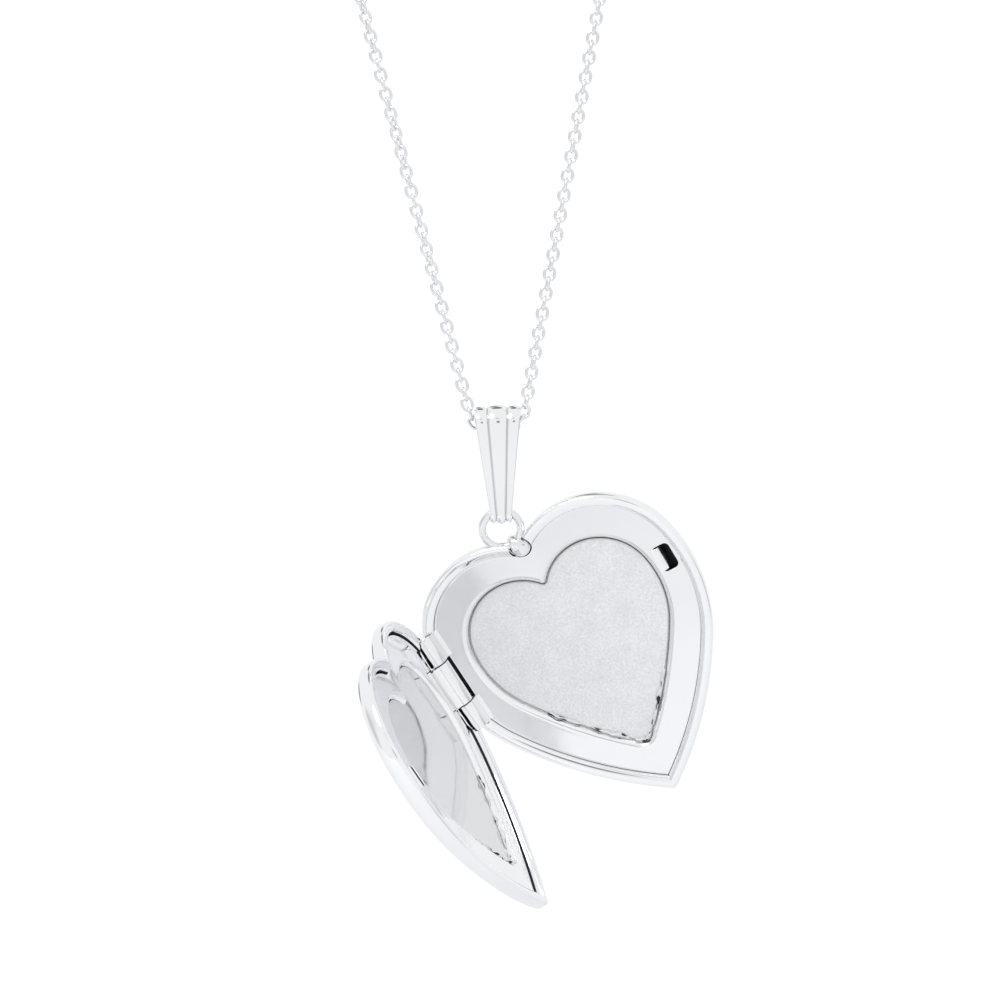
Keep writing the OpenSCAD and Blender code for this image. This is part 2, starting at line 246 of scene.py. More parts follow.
# Painted shadow: dark faces that stand for gaps and deep shadow
painted_shadow_silver = polished_silver("painted_shadow_silver", (0.05, 0.05, 0.055), 0.5, 0.7, 0.1)
chain_silver = polished_silver("chain_silver", WIRE_SILVER, 0.06, 0.12, 0.04)
silver_hinge = polished_silver("silver_hinge", (0.92, 0.925, 0.94), 0.06, 0.12, 0.08)
paper = card_paper()
film = clear_plastic("clear_plastic", 0.22)
film_fold = clear_plastic("folded_plastic", 0.6)
door_film = clear_plastic("door_plastic", 0.75, 0.7)


# ---------------------------------------------------------------- mesh helpers
def face_outward(mesh):
    """Points every face's normal outward."""
    bm = bmesh.new()
    bm.from_mesh(mesh)
    bmesh.ops.recalc_face_normals(bm, faces=bm.faces)
    bm.to_mesh(mesh)
    bm.free()


def make_piece(name, points, faces, material, body, nodes=(), place=None):
    """A mesh piece from points in mm, smooth by angle, riding on its body."""
    mesh = bpy.data.meshes.new(name + "_form")
    if place is not None:
        points = [place @ Vector(p) for p in points]
    mesh.from_pydata([tuple(c * MM for c in p) for p in points], [], faces)
    face_outward(mesh)
    obj = bpy.data.objects.new(name + "_form", mesh)
    bpy.context.scene.collection.objects.link(obj)
    mesh.materials.append(material)
    smooth(obj)
    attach(obj, body)
    if nodes:
        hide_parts(*nodes)
    return obj


def smooth(obj, angle=40):
    """Smooth shading with edges sharper than the angle kept crisp."""
    mesh = obj.data
    mesh.polygons.foreach_set("use_smooth", [True] * len(mesh.polygons))
    limit = math.radians(angle)
    bm = bmesh.new()
    bm.from_mesh(mesh)
    for edge in bm.edges:
        edge.smooth = len(edge.link_faces) != 2 or edge.calc_face_angle(0) < limit
    bm.to_mesh(mesh)
    bm.free()


def ring_faces(loops, count, closed=False):
    """Quads between consecutive loops of the same count."""
    steps = loops if closed else loops - 1
    return [
        (k * count + i, k * count + (i + 1) % count,
         (k + 1) % loops * count + (i + 1) % count, (k + 1) % loops * count + i)
        for k in range(steps) for i in range(count)
    ]


def cut(obj, cutter):
    """Cuts cutter out of obj for good, and removes cutter."""
    cutter_obj = bpy.data.objects.new(obj.name + "_cutter", cutter)
    bpy.context.scene.collection.objects.link(cutter_obj)
    modifier = obj.modifiers.new("cut", "BOOLEAN")
    modifier.operation = "DIFFERENCE"
    modifier.solver = "EXACT"
    modifier.object = cutter_obj
    graph = bpy.context.evaluated_depsgraph_get()
    result = bpy.data.meshes.new_from_object(obj.evaluated_get(graph))
    obj.modifiers.clear()
    obj.data = result
    bpy.data.objects.remove(cutter_obj)
    smooth(obj)


def prism_mesh(outline, y0, y1, place):
    """A cutter: an outline in x and z between two depths, set on the heart."""
    n = len(outline)
    points = [place @ Vector((x, y, z)) * MM for y in (y0, y1) for x, z in outline]
    faces = [tuple(range(n)), tuple(range(2 * n - 1, n - 1, -1))]
    faces += [(i, (i + 1) % n, n + (i + 1) % n, n + i) for i in range(n)]
    mesh = bpy.data.meshes.new("cutter")
    mesh.from_pydata([tuple(p) for p in points], [], faces)
    face_outward(mesh)
    return mesh


def circle(cx, cy, r, count):
    """An outline of count points on a circle."""
    steps = [2 * math.pi * i / count for i in range(count)]
    return [(cx + r * math.cos(a), cy + r * math.sin(a)) for a in steps]


def tube_points(line, radius, sides, closed=False, up=Vector((0, 1, 0))):
    """Points of a tube round a line of vectors, sides to each ring."""
    n = len(line)
    points = []
    for i, centre in enumerate(line):
        before = line[i - 1] if closed or i else line[0]
        after = line[(i + 1) % n] if closed or i < n - 1 else line[-1]
        along = (after - before).normalized()
        across = along.cross(up).normalized()
        over = across.cross(along).normalized()
        r = radius(i) if callable(radius) else radius
        for k in range(sides):
            a = 2 * math.pi * k / sides
            points.append(centre + across * (r * math.cos(a)) + over * (r * math.sin(a)))
    return points


def lathe(profile, count, place):
    """Points and faces of a closed (radius, height) profile turned round z."""
    points = []
    for k in range(count):
        a = 2 * math.pi * k / count
        points += [place @ Vector((r * math.cos(a), r * math.sin(a), h)) for r, h in profile]
    n = len(profile)
    faces = ring_faces(count, n, closed=True)
    return points, faces


def torus(name, place, ring_r, wire_r, material, body, nodes):
    """A ring of round wire in the x and z plane of its place."""
    line = [Vector((ring_r * math.cos(a), 0, ring_r * math.sin(a)))
            for a in (2 * math.pi * k / 96 for k in range(96))]
    points = tube_points(line, wire_r, 24, closed=True)
    faces = ring_faces(96, 24, closed=True)
    return make_piece(name, points, faces, material, body, nodes, place)


# ---------------------------------------------------------------- camera
CAMERA_LENS, SENSOR_WIDTH = 213.8, 36
CAMERA_SPOT = (-0.000375, -0.41733, -0.04112)  # metres
CAMERA_ROLL = 2.2  # degrees


def add_camera():
    """A long lens straight in front of the hanging heart, looking along +Y."""
    camera = bpy.data.cameras.new("camera")
    camera.sensor_width = SENSOR_WIDTH
    camera.lens = CAMERA_LENS
    camera.clip_start = 0.01
    camera.clip_end = 5
    obj = bpy.data.objects.new("camera", camera)
    bpy.context.scene.collection.objects.link(obj)
    roll = math.radians(CAMERA_ROLL)
    obj.matrix_world = Matrix((
        (math.cos(roll), math.sin(roll), 0, CAMERA_SPOT[0]),
        (0, 0, -1, CAMERA_SPOT[1]),
        (-math.sin(roll), math.cos(roll), 0, CAMERA_SPOT[2]),
        (0, 0, 0, 1),
    ))
    bpy.context.scene.camera = obj


add_camera()


# ---------------------------------------------------------------- chain, the two held strands
LINK_PITCH = 0.71
LINK_SQUARENESS = 2.4  # 2 is an ellipse; more is closer to a stadium
LINK_COUNT, LINK_SIDES = 36, 12  # points along a link's wire, and round it
AVERAGED = 0.35  # half the length a link's direction is averaged over


def route_points(side):
    """The given route of one strand, mirrored for the left one."""
    return [Vector((side * x, 0, BAIL_Z + z)) for x, z in CHAIN_ROUTE]


def route_length(route):
    return sum((b - a).length for a, b in zip(route, route[1:]))


def along_route(points, distance):
    """The point and direction at a distance along a route."""
    for a, b in zip(points, points[1:]):
        step = (b - a).length
        if distance <= step:
            return a.lerp(b, distance / step), (b - a).normalized()
        distance -= step
    return points[-1] + (points[-1] - points[-2]).normalized() * distance, (b - a).normalized()


def smooth_along(points, distance):
    """Like along_route, its direction averaged over one link."""
    centre, _ = along_route(points, distance)
    before, _ = along_route(points, max(distance - AVERAGED, 0))
    after, _ = along_route(points, distance + AVERAGED)
    return centre, (after - before).normalized()


def link_points(centre, along, flat, tall, wide, wire):
    """A stadium-like oval ring of round wire, its plane spanned by along and flat."""
    through = along.cross(flat).normalized()
    power = LINK_SQUARENESS
    points = []
    for k in range(LINK_COUNT):
        a = 2 * math.pi * k / LINK_COUNT
        ca, sa = math.cos(a), math.sin(a)
        squarer = 1 / (abs(ca) ** power + abs(sa) ** power) ** (1 / power)
        spot = centre + along * (tall * ca * squarer) + flat * (wide * sa * squarer)
        out = (along * (ca / tall) + flat * (sa / wide)).normalized()
        for m in range(LINK_SIDES):
            b = 2 * math.pi * m / LINK_SIDES
            points.append(spot + (out * math.cos(b) + through * math.sin(b)) * wire)
    return points, ring_faces(LINK_COUNT, LINK_SIDES, closed=True)


def twist_at(side, distance):
    """Slow turn of the chain about its own length, in degrees."""
    slow = noise.noise(Vector((distance * 0.11, 7.0 * side, 0)))
    quick = noise.noise(Vector((distance * 0.9, 3.0 * side, 5)))
    return 52 * slow + 10 * quick


def strand(name, side):
    """Oval cable links along one held strand, each turned a quarter from the last."""
    route = route_points(side)
    length = route_length(route)
    points, faces = [], []
    count = int((length - 0.2) / LINK_PITCH)
    wire = LINK_WIRE / 2
    for i in range(count):
        distance = LINK_PITCH * (i + 0.5)
        centre, along = smooth_along(route, distance)
        across = Vector((along.z, 0, -along.x))
        a = math.radians(twist_at(side, distance) + 90 * ((i + (side > 0)) % 2))
        flat = across * math.cos(a) + Vector((0, 1, 0)) * math.sin(a)
        new, quads = link_points(centre, along, flat, LINK_LENGTH / 2 - wire,
                                 CHAIN_D / 2 - wire, wire)
        faces += [tuple(len(points) + v for v in quad) for quad in quads]
        points += new
    return make_piece(name, points, faces, chain_silver, "held_chain", [name])


# ---------------------------------------------------------------- clasp, past the view's top
STRAND_LEAN = math.degrees(math.atan2(0.445, 2))
JUMP_RING_R, JUMP_RING_WIRE = 0.95, 0.2
CATCH_RING_R, CATCH_RING_WIRE = 1.52, 0.26
CLASP_R, CLASP_TUBE, TRIGGER_WIRE = 2.2, 0.5, 0.28
CLASP_RISE = 2 * JUMP_RING_R + CLASP_R + CLASP_TUBE - 0.2
MOUTH_ANGLE, KNOB_ANGLE = 62, 70
EYE_R, EYE_WIRE = 0.35, 0.14
WIRE_CAP = [(0.55, 0.85), (0.85, 0.53), (0.98, 0.15)]  # reach and size of a domed end
WIRE_SIDES = 28


def past_end(side, distance):
    """A place past a strand's end, on its own line."""
    end_x, end_z = CHAIN_ROUTE[-1]
    lean = math.radians(STRAND_LEAN)
    spot = (side * (end_x + distance * math.sin(lean)), 0,
            BAIL_Z + end_z + distance * math.cos(lean))
    return Matrix.Translation(spot) @ turn(side * STRAND_LEAN, "Y")


def arc_tube(name, place, radius, wire, start, end, body, tip, extra=()):
    """Round wire along an arc in the clasp's plane, its ends domed."""
    steps = max(8, int(abs(end - start) / 4))
    line, sizes = [], []
    for k in range(steps + 1):
        a = math.radians(start + (end - start) * k / steps)
        line.append(Vector((radius * math.cos(a), 0, radius * math.sin(a))))
        sizes.append(wire)
    for index, inner in ((0, 1), (-1, -2)):
        way = (line[index] - line[inner]).normalized()
        ends = [line[index] + way * wire * tip * reach for reach, _ in WIRE_CAP]
        rims = [wire * size for _, size in WIRE_CAP]
        if index == 0:
            line, sizes = ends[::-1] + line, rims[::-1] + sizes
        else:
            line, sizes = line + ends, sizes + rims
    points = tube_points(line, lambda i: sizes[i], WIRE_SIDES)
    faces = ring_faces(len(line), WIRE_SIDES)
    faces.append(tuple(range(WIRE_SIDES)))
    faces.append(tuple(len(points) - WIRE_SIDES + i for i in range(WIRE_SIDES)))
    for more_points, more_faces in extra:
        faces += [tuple(len(points) + v for v in f) for f in more_faces]
        points += more_points
    return make_piece(name, points, faces, silver_wire, body, [name], place)


def clasp():
    """A round spring clasp: tube with an eye, and the trigger that closes its mouth."""
    place = past_end(-1, CLASP_RISE)
    eye_place = Matrix.Translation((0, 0, -CLASP_R - CLASP_TUBE))
    eye_line = [eye_place @ Vector((EYE_R * math.cos(a), 0, EYE_R * math.sin(a)))
                for a in (2 * math.pi * k / 40 for k in range(40))]
    eye = (tube_points(eye_line, EYE_WIRE, 16, closed=True), ring_faces(40, 16, closed=True))
    tube = arc_tube("clasp_body", place, CLASP_R, CLASP_TUBE, MOUTH_ANGLE, 358,
                    "held_chain", 0.3, [eye])
    trigger = arc_tube("clasp_trigger", place, CLASP_R, TRIGGER_WIRE, 3, MOUTH_ANGLE + 6,
                       "clasp_slide", 1)
    profile = [(0.001, -0.35), (0.12, -0.35), (0.12, 0.1), (0.19, 0.14), (0.21, 0.26),
               (0.17, 0.36), (0.001, 0.39)]
    out = CLASP_R + CLASP_TUBE
    at_knob = turn(-KNOB_ANGLE, "Y") @ Matrix.Translation((out, 0, 0)) @ turn(90, "Y")
    points, faces = lathe(profile, 32, at_knob)
    knob = make_piece("clasp_thumb_knob", points, faces, silver_wire, "clasp_slide",
                      ["clasp_thumb_knob"], place)
    return [tube, trigger, knob]


def chain_and_clasp():
    """Both strands, each with the fittings at its held end."""
    left, right = strand("chain_left", -1), strand("chain_right", 1)
    jump_ring = torus("clasp_jump_ring", past_end(-1, JUMP_RING_R), JUMP_RING_R,
                      JUMP_RING_WIRE, silver_wire, "held_chain",
                      ["clasp_jump_ring"])
    catch_ring = torus("chain_end_ring", past_end(1, CATCH_RING_R), CATCH_RING_R,
                       CATCH_RING_WIRE, silver_wire, "held_chain",
                       ["chain_end_ring"])
    [jump_ring] + clasp()


chain_and_clasp()


# ---------------------------------------------------------------- heart outline
def arc(centre, radius, start, end, count, ease=None):
    """Points on an arc without its last one; ease crowds them toward an end."""
    points = []
    for i in range(count):
        t = i / count
        if ease == "in":
            t = 1 - math.cos(t * math.pi / 2)
        if ease == "out":
            t = math.sin(t * math.pi / 2)
        a = start + (end - start) * t
        points.append((centre[0] + radius * math.cos(a), centre[1] + radius * math.sin(a)))
    return points


def step_centre(centre, r_from, r_to, angle):
    """Centre of the next arc, which touches the last one at an angle."""
    return (
        centre[0] - (r_to - r_from) * math.cos(angle),
        centre[1] - (r_to - r_from) * math.sin(angle),
    )


def heart(form, inset=0.0, scale=1.0, tip_r=0.3, cleft_r=0.12):
    """A closed heart outline in x and z, inset by a distance, its tip and cleft rounded."""
    c1, lobe, side, flank = form
    tip_r = max(tip_r, inset + 0.03)
    cleft_r = max(cleft_r, 0.03 - inset)
    c2 = step_centre(c1, lobe, side, SIDE_ANGLE)
    c3 = step_centre(c2, side, flank, FLANK_ANGLE)
    cleft_z = c1[1] + math.sqrt((lobe + cleft_r) ** 2 - c1[0] ** 2)
    cleft_a = math.atan2(cleft_z - c1[1], -c1[0])
    tip_z = c3[1] - math.sqrt((flank - tip_r) ** 2 - c3[0] ** 2)
    tip_a = math.atan2(tip_z - c3[1], -c3[0])
    down = -math.pi / 2
    half = arc((0, cleft_z), cleft_r + inset, down, cleft_a - math.pi, 6)
    half += arc(c1, lobe - inset, cleft_a, SIDE_ANGLE, 40, "in")
    half += arc(c2, side - inset, SIDE_ANGLE, FLANK_ANGLE, 24)
    half += arc(c3, flank - inset, FLANK_ANGLE, tip_a, 30, "out")
    half += arc((0, tip_z), tip_r - inset, tip_a, down, 6)
    half.append((0, tip_z - tip_r + inset))
    whole = half + [(-x, z) for x, z in half[-2:0:-1]]
    return [(x * scale, HEART_MID + (z - HEART_MID) * scale) for x, z in whole]


def heart_loft(levels, left_limit):
    """Points of heart loops at (outline, depth) levels, flat at the hinge side."""
    return [
        (max(x, left_limit), depth, z) for outline, depth in levels for x, z in outline
    ]


# ---------------------------------------------------------------- case shells
HALF_DEPTH = 2.2
RIM_PROFILE = [  # inset and depth, from under the plate over the broad rim to the wall
    (0.88, 1.0), (0.88, 0.42), (0.87, 0.31), (0.84, 0.245), (0.78, 0.19), (0.68, 0.135),
    (0.56, 0.088), (0.44, 0.055), (0.33, 0.04), (0.24, 0.045), (0.16, 0.07), (0.09, 0.12),
    (0.035, 0.20), (0.005, 0.31), (0.0, 0.44), (0.0, 0.74), (0.015, 0.88), (0.07, 1.02),
    (0.17, 1.15), (0.32, 1.28), (0.50, 1.38),
]


DOME_START, DOME_INSET = 1.4, 0.6  # depth where the rim ends, and the inset there
WALL_INSET = 1.05  # inner wall of the dome, from the outline
INNER_DOME = ((0.2, 0), (0.5, 0.1), (0.8, 0.33), (1.0, 0.72))  # scale, drop from the top


def dome_levels():
    """Outlines that shrink and soften over the dome, with their depths."""
    levels = []
    for degrees in range(14, 90, 6):
        t = math.radians(degrees)
        scale = math.cos(t)
        soft = 1 - scale
        outline = heart(CASE_FORM, DOME_INSET, scale, 0.7 + 2.2 * soft, 0.12 + 1.6 * soft)
        levels.append((outline, DOME_START + (HALF_DEPTH - DOME_START) * math.sin(t)))
    return levels


def shell(name, place, body, notched, dark_wall):
    """A domed outer shell; its inside and its first dark_wall rings of the rim's inside are painted
    in shadow.
    """
    levels = [(heart(CASE_FORM, inset), depth) for inset, depth in RIM_PROFILE]
    levels += dome_levels()
    inner = [(heart(CASE_FORM, WALL_INSET, scale), HALF_DEPTH - SHEET - drop)
             for scale, drop in INNER_DOME]
    count = len(levels[0][0])
    outer_points = heart_loft(levels, SEAT_X)
    inner_points = heart_loft(inner, SEAT_X + 0.3)
    loops = len(levels)
    faces = ring_faces(loops, count)
    faces.append(tuple(range((loops - 1) * count, loops * count)))
    base = loops * count
    faces += [tuple(base + i for i in f) for f in ring_faces(len(inner), count)]
    faces.append(tuple(base + i for i in range(count)))
    last = base + (len(inner) - 1) * count
    faces += [(i, (i + 1) % count, last + (i + 1) % count, last + i) for i in range(count)]
    obj = make_piece(name, outer_points + inner_points, faces, silver_case, body,
                     [name], place)
    obj.data.materials.append(painted_shadow_silver)
    # Painted shadow: the shell's inside and the rim's first dark_wall rings take the dark material
    for face in obj.data.polygons:
        if min(face.vertices) >= base or max(face.vertices) < dark_wall * count:
            face.material_index = 1
    cut(obj, hinge_relief(place))
    if notched:
        cut(obj, prism_mesh(stem_notch(), -0.5, STEM_DEPTH, place))
    return obj


def hinge_relief(place):
    """A cutter that clears the knuckles' whole barrel."""
    upright = Matrix(((1, 0, 0, 0), (0, 0, 1, 0), (0, 1, 0, 0), (0, 0, 0, 1)))
    return prism_mesh(circle(-HINGE_X, 0, KNUCKLE_R + 0.1, 40), HINGE_LOW - 0.1,
                      HINGE_LOW + HINGE_LEN + 0.1, place @ upright)


def stem_notch():
    """Outline of the cleft's notch for the solder stem."""
    return circle(*STEM_POS, STEM_R + 0.08, 36)


shell("back_shell", HANG_BACK, "back_half", True, 0)
shell("front_shell", HANG_FRONT, "front_half", False, 2)


# ---------------------------------------------------------------- plates and pictures
PLATE_EDGE = [(0.902, 0.80), (0.902, 0.54), (0.912, 0.515), (0.94, 0.502), (1.1, 0.50)]
DOOR_PLATE_EDGE = [(0.92, 0.95), (0.93, 0.72), (0.95, 0.62), (0.99, 0.55), (1.06, 0.512),
                   (1.16, 0.50)]
WELL_EDGE = [  # outward of the well's edge, and depth: a soft bead that rolls down
    (0.62, 0.500), (0.52, 0.497), (0.44, 0.487), (0.36, 0.482), (0.28, 0.490), (0.20, 0.515),
    (0.12, 0.56), (0.05, 0.62), (-0.01, 0.69), (-0.06, 0.77), (-0.11, 0.87), (-0.15, 0.98),
    (-0.18, 1.06), (-0.22, 1.10),
]


WELL_BACK = [(0.25, 1.25), (0.4, 0.80)]  # outward of the well's edge, and depth, underneath
DARK_LOOPS = 3  # the well's lowest loops, in the card's shadow


def well_levels(profile):
    return [(heart(WELL_FORM, -out, tip_r=WELL_TIP_R), depth) for out, depth in profile]


def plate_faces(loops, count):
    """Faces of the plate's front, then of the well's underside, then between the two."""
    faces = ring_faces(loops, count)
    faces.append(tuple(range((loops - 1) * count, loops * count)))
    start = loops * count
    faces.append(tuple(range(start, start + count)))
    faces += [tuple(start + i for i in f) for f in ring_faces(len(WELL_BACK), count)]
    under = start + count
    faces += [(i, (i + 1) % count, under + (i + 1) % count, under + i) for i in range(count)]
    return faces


def plate(name, place, body, material, edge, gaps, slots, notched):
    """The bright inner plate, pressed down into a heart-shaped picture well."""
    levels = [(heart(CASE_FORM, inset), depth) for inset, depth in edge]
    levels += well_levels(WELL_EDGE)
    count, loops = len(levels[0][0]), len(levels)
    points = heart_loft(levels + well_levels(WELL_BACK), PLATE_EDGE_X)
    obj = make_piece(name, points, plate_faces(loops, count), material, body, [name],
                     place)
    obj.data.materials.append(painted_shadow_silver)
    # Painted shadow: the well's lowest loops, beside the card, take the dark material
    first_dark = (loops - DARK_LOOPS) * count
    for face in obj.data.polygons:
        if first_dark <= min(face.vertices) and max(face.vertices) < loops * count:
            face.material_index = 1
    if notched:
        cut(obj, prism_mesh(stem_notch(), 0.3, STEM_DEPTH, place))
    for z0, z1 in gaps:
        gap = [(-11, z0), (KNUCKLE_CLEAR_X, z0), (KNUCKLE_CLEAR_X, z1), (-11, z1)]
        cut(obj, prism_mesh(gap, 0.3, 1.0, place))
    for width, height, shift in slots:
        cut(obj, prism_mesh(slot_outline(width, height, shift), 0.3, 1.0, place))
    return obj


def slot_outline(width, height, shift):
    """A catch slot's rounded rectangle, turned along the heart's side."""
    corner = width * 0.28
    half_w, half_h = width / 2 - corner, height / 2 - corner
    outline = []
    for k, (sx, sz) in enumerate(((1, 1), (-1, 1), (-1, -1), (1, -1))):
        for step in range(7):
            a = math.radians(90 * k + 15 * step)
            x = shift + sx * half_w + corner * math.cos(a)
            z = sz * half_h + corner * math.sin(a)
            outline.append(on_slot(x, z))
    return outline


def on_slot(x, z):
    """A point of the slot's own plane, on the heart."""
    a = math.radians(SLOT_ANGLE)
    return (SLOT_POS[0] + x * math.cos(a) + z * math.sin(a),
            SLOT_POS[1] - x * math.sin(a) + z * math.cos(a))


def heart_layers(name, rings, place, body, material, lift):
    """A flat closed piece from (inset, scale, depth) rings, moved in depth by lift."""
    levels = [(heart(WELL_FORM, inset, scale, WELL_TIP_R), depth) for inset, scale, depth in rings]
    count = len(levels[0][0])
    points = [(x, depth + lift(x, z, depth), z) for outline, depth in levels for x, z in outline]
    faces = ring_faces(len(levels), count)
    faces.append(tuple(range(count)))
    faces.append(tuple(range((len(levels) - 1) * count, len(levels) * count)))
    return make_piece(name, points, faces, material, body, [name], place)


FACE_SCALES = (0.97, 0.93, 0.88, 0.8, 0.7, 0.6, 0.5, 0.4, 0.3, 0.2, 0.1)
FILM_SCALES = (0.97, 0.94, 0.91, 0.88, 0.84, 0.8, 0.75, 0.7, 0.6, 0.5, 0.4, 0.3, 0.2, 0.1)
CARD_INSET, FILM_INSET, FILM_T = 0.27, 0.16, 0.03


def card(name, place, body, seed):
    """The picture card, not quite flat, with a rounded edge."""
    top = WELL_FLOOR - CARD_T

    def lift(x, z, depth):
        return 0.03 * noise.noise(Vector((x * 0.3, z * 0.3, seed))) * (depth < top + 0.1)

    edge = CARD_INSET - 0.04
    rings = [(edge + 0.02, 1, WELL_FLOOR), (edge, 1, WELL_FLOOR - 0.04), (edge, 1, top + 0.05),
             (edge + 0.02, 1, top + 0.01), (CARD_INSET, 1, top)]
    rings += [(CARD_INSET, s, top) for s in FACE_SCALES]
    return heart_layers(name, rings, place, body, paper, lift)


def film_piece(name, place, body, material, seed):
    """The clear cover, whose edge is crumpled toward the heart's tip."""
    def lift(x, z, depth):
        low = max(0.0, min(1.0, (-2.0 - z) / 3.0))
        edge = max(0.0, min(1.0, (math.hypot(x / 6.5, (z - 1.0) / 8.5) - 0.75) / 0.25))
        crumple = noise.noise(Vector((x * 1.7, z * 1.7, seed)))
        ripple = noise.noise(Vector((x * 5.0, z * 5.0, seed + 3)))
        return -low * edge * max(0.0, 0.35 * crumple + 0.2 * ripple) - 0.02 * edge * ripple

    under = FILM_BASE + FILM_T
    rings = [(FILM_INSET, s, under) for s in FILM_SCALES[::-1]]
    rings += [(FILM_INSET - 0.01, 1, under), (FILM_INSET - 0.03, 1, FILM_BASE + FILM_T / 2),
              (FILM_INSET - 0.01, 1, FILM_BASE)]
    rings += [(FILM_INSET, s, FILM_BASE) for s in FILM_SCALES]
    return heart_layers(name, rings, place, body, material, lift)


FOLD_STEP, FOLD_ROWS = 0.06, 10  # spacing along a fold, and points across it
FOLD_WIDTH, FOLD_SPREAD = 0.2, 0.45  # narrowest, and how much wider it may get
FOLD_LIFT, FOLD_RISE = 0.16, 0.3  # height over the film, and how much that varies
FOLD_T = 0.02
FOLD_DARK = 0.2  # a fold is in its own shadow where its noise is above this


def fine_line(line, step):
    """Points at about one step apart along a line in x and z."""
    fine = []
    for (x0, z0), (x1, z1) in zip(line, line[1:]):
        steps = max(2, int(math.hypot(x1 - x0, z1 - z0) / step))
        fine += [(x0 + (x1 - x0) * k / steps, z0 + (z1 - z0) * k / steps) for k in range(steps)]
    return fine


def inward(line, i):
    """Unit normal of a line at one of its points, toward the heart's middle."""
    (x, z), (x0, z0) = line[i], line[max(i - 1, 0)]
    x1, z1 = line[min(i + 1, len(line) - 1)]
    span = math.hypot(x1 - x0, z1 - z0)
    nx, nz = -(z1 - z0) / span, (x1 - x0) / span
    sign = -1 if nx * x + nz * (z - HEART_MID) > 0 else 1
    return sign * nx, sign * nz


def film_curl(name, place, body, first, last, seed):
    """A crumpled edge of the clear cover, between two points of the heart's outline."""
    outline = heart(WELL_FORM, FILM_INSET, 1, WELL_TIP_R)
    line = fine_line([outline[i % len(outline)] for i in range(first, last + 1)], FOLD_STEP)
    row = FOLD_ROWS + 1
    points = []
    for i, (x, z) in enumerate(line):
        nx, nz = inward(line, i)
        fade = math.sin(math.pi * i / (len(line) - 1)) ** 0.5
        width = FOLD_WIDTH + FOLD_SPREAD * abs(noise.noise(Vector((i * 0.05, seed, 0)))) * fade
        rise = FOLD_RISE * noise.noise(Vector((i * 0.09, seed, 9)))
        lift = max(0.0, fade * (FOLD_LIFT + rise))
        for k in range(row):
            t = k / FOLD_ROWS
            wrinkle = 0.06 * noise.noise(Vector((i * 0.16, t * 2.5, seed))) * fade
            height = lift * math.sin(math.pi * t) ** 0.7 + wrinkle
            reach = width * (t - 0.12)
            points.append((x + nx * reach, FILM_BASE - FOLD_T - max(0.0, height), z + nz * reach))
    faces = [(i * row + k, i * row + k + 1, (i + 1) * row + k + 1, (i + 1) * row + k)
             for i in range(len(line) - 1) for k in range(FOLD_ROWS)]
    obj = make_piece(name, points, faces, film_fold, body, (), place)
    obj.data.materials.append(painted_shadow_silver)
    # Painted shadow: dark flecks on the fold where its noise is above FOLD_DARK
    for face in obj.data.polygons:
        i, k = divmod(min(face.vertices), row)
        if noise.noise(Vector((i * 0.07, k * 0.22, seed + 5))) > FOLD_DARK:
            face.material_index = 1
    solid = obj.modifiers.new("thickness", "SOLIDIFY")
    solid.thickness = FOLD_T * MM
    return obj


upper_z = HINGE_LOW + HINGE_LEN - UPPER_LEN
door_z = HINGE_LOW + LOWER_LEN + KNUCKLE_GAP
top_z = HINGE_LOW + HINGE_LEN
plate("back_plate", HANG_BACK, "back_half", silver_plate, PLATE_EDGE,
      [(door_z - 0.08, upper_z - KNUCKLE_GAP + 0.05)], [(*SLOT_SIZE, 0)], True)
plate("front_plate", HANG_FRONT, "front_half", silver_door, DOOR_PLATE_EDGE,
      [(HINGE_LOW - 0.1, door_z - 0.02), (upper_z - 0.05, top_z + 0.1)], [(0.8, 2.0, 0.2)],
      False)
card("back_card", HANG_BACK, "back_half", 1)
card("front_card", HANG_FRONT, "front_half", 5)
film_piece("back_film", HANG_BACK, "back_half", film, 2)
film_piece("front_film", HANG_FRONT, "front_half", door_film, 8)
FOLD_SPANS = ((78, 92), (96, 118), (120, 130), (132, 138))  # along the outline, near its tip
for index, (first, last) in enumerate(FOLD_SPANS):
    film_curl(f"back_film_curl_{index}", HANG_BACK, "back_half", first, last, 3.0 + index)
    film_curl(f"front_film_curl_{index}", HANG_FRONT, "front_half", first, last, 13.0 + index)


# ---------------------------------------------------------------- hinge and catch
LEAF = [  # the leaf's section beside the hinge line, from the barrel onto the plate
    (0.4, -0.1), (0.64, -0.3), (0.685, -0.1), (0.725, 0.1), (0.78, 0.27), (0.86, 0.39),
    (0.96, 0.455), (1.06, 0.475), (1.1, 0.5), (1.06, 0.56), (0.7, 0.56), (0.4, 0.4),
]
LEAF_SHORT = 0.04  # the leaf ends this much inside the barrel's ends


def knuckle(name, place, body, z0, length):
    """A rolled knuckle with softened ends, and its leaf laid on the plate."""
    bore, bevel = PIN_R + PIN_PLAY, 0.07
    profile = [
        (bore, z0 + 0.03), (bore + 0.03, z0), (KNUCKLE_R - bevel, z0),
        (KNUCKLE_R - 0.02, z0 + 0.02), (KNUCKLE_R, z0 + bevel),
        (KNUCKLE_R, z0 + length / 2),
        (KNUCKLE_R, z0 + length - bevel), (KNUCKLE_R - 0.02, z0 + length - 0.02),
        (KNUCKLE_R - bevel, z0 + length), (bore + 0.03, z0 + length), (bore, z0 + length - 0.03),
    ]
    at_hinge = Matrix.Translation((-HINGE_X, 0, 0))
    points, faces = lathe(profile, 56, at_hinge)
    ends = (z0 + LEAF_SHORT, z0 + length - LEAF_SHORT)
    start = len(points)
    points += [Vector((x - HINGE_X, y, z)) for z in ends for x, y in LEAF]
    n = len(LEAF)
    faces += [tuple(start + i for i in f) for f in ring_faces(2, n)]
    faces.append(tuple(start + i for i in range(n)))
    faces.append(tuple(start + n + i for i in range(n)))
    return make_piece(name, points, faces, silver_hinge, body, [name], place)


